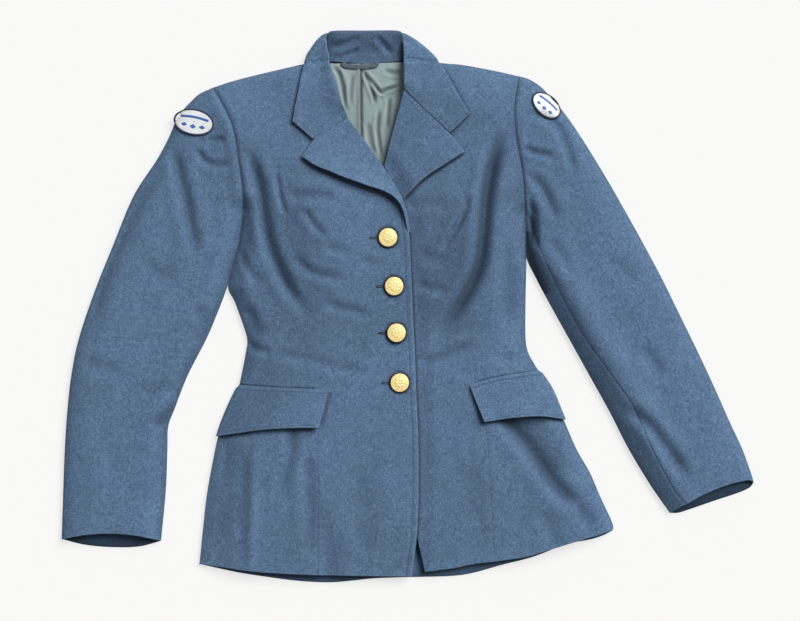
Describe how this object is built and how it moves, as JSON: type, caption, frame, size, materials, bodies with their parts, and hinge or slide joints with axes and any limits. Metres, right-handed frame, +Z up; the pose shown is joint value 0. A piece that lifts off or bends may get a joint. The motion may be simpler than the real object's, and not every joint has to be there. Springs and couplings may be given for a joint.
{
  "type": "uniform jacket",
  "caption": "Fitted single-breasted wool uniform jacket with notched collar, flapped pockets, sleeve badges and gilt buttons, laid out flat on its back.",
  "frame": {"origin": "on the surface that the jacket lies on, under the middle of its outline", "axes": "+X towards the wearer's left sleeve, +Y towards the collar, +Z up out of the front"},
  "size_m": [0.8653, 0.6899, 0.0322],
  "materials": {
    "wool": "blue-grey heathered wool twill, matt with a slight nap",
    "lining": "grey-green twill lining with a soft sheen",
    "loop": "dark grey tape",
    "badge": "white embroidery with blue bars and a dark edge",
    "gilt": "gilt, satin, softly worn"
  },
  "bodies": {
    "root": {"back_right": "wool", "back_left": "wool", "right_front": "wool", "left_front": "wool", "right_side_skirt": "wool", "left_side_skirt": "wool", "right_lapel": "wool", "left_lapel": "wool", "collar_fall": "wool", "collar_stand": "wool", "right_top_sleeve": "wool", "right_under_sleeve": "wool", "left_top_sleeve": "wool", "left_under_sleeve": "wool", "right_pocket_flap": "wool", "left_pocket_flap": "wool", "back_lining": "lining", "hanger_loop": "loop", "right_sleeve_badge": "badge", "left_sleeve_badge": "badge", "button_1": "gilt", "button_2": "gilt", "button_3": "gilt", "button_4": "gilt"}
  },
  "joints": []
}
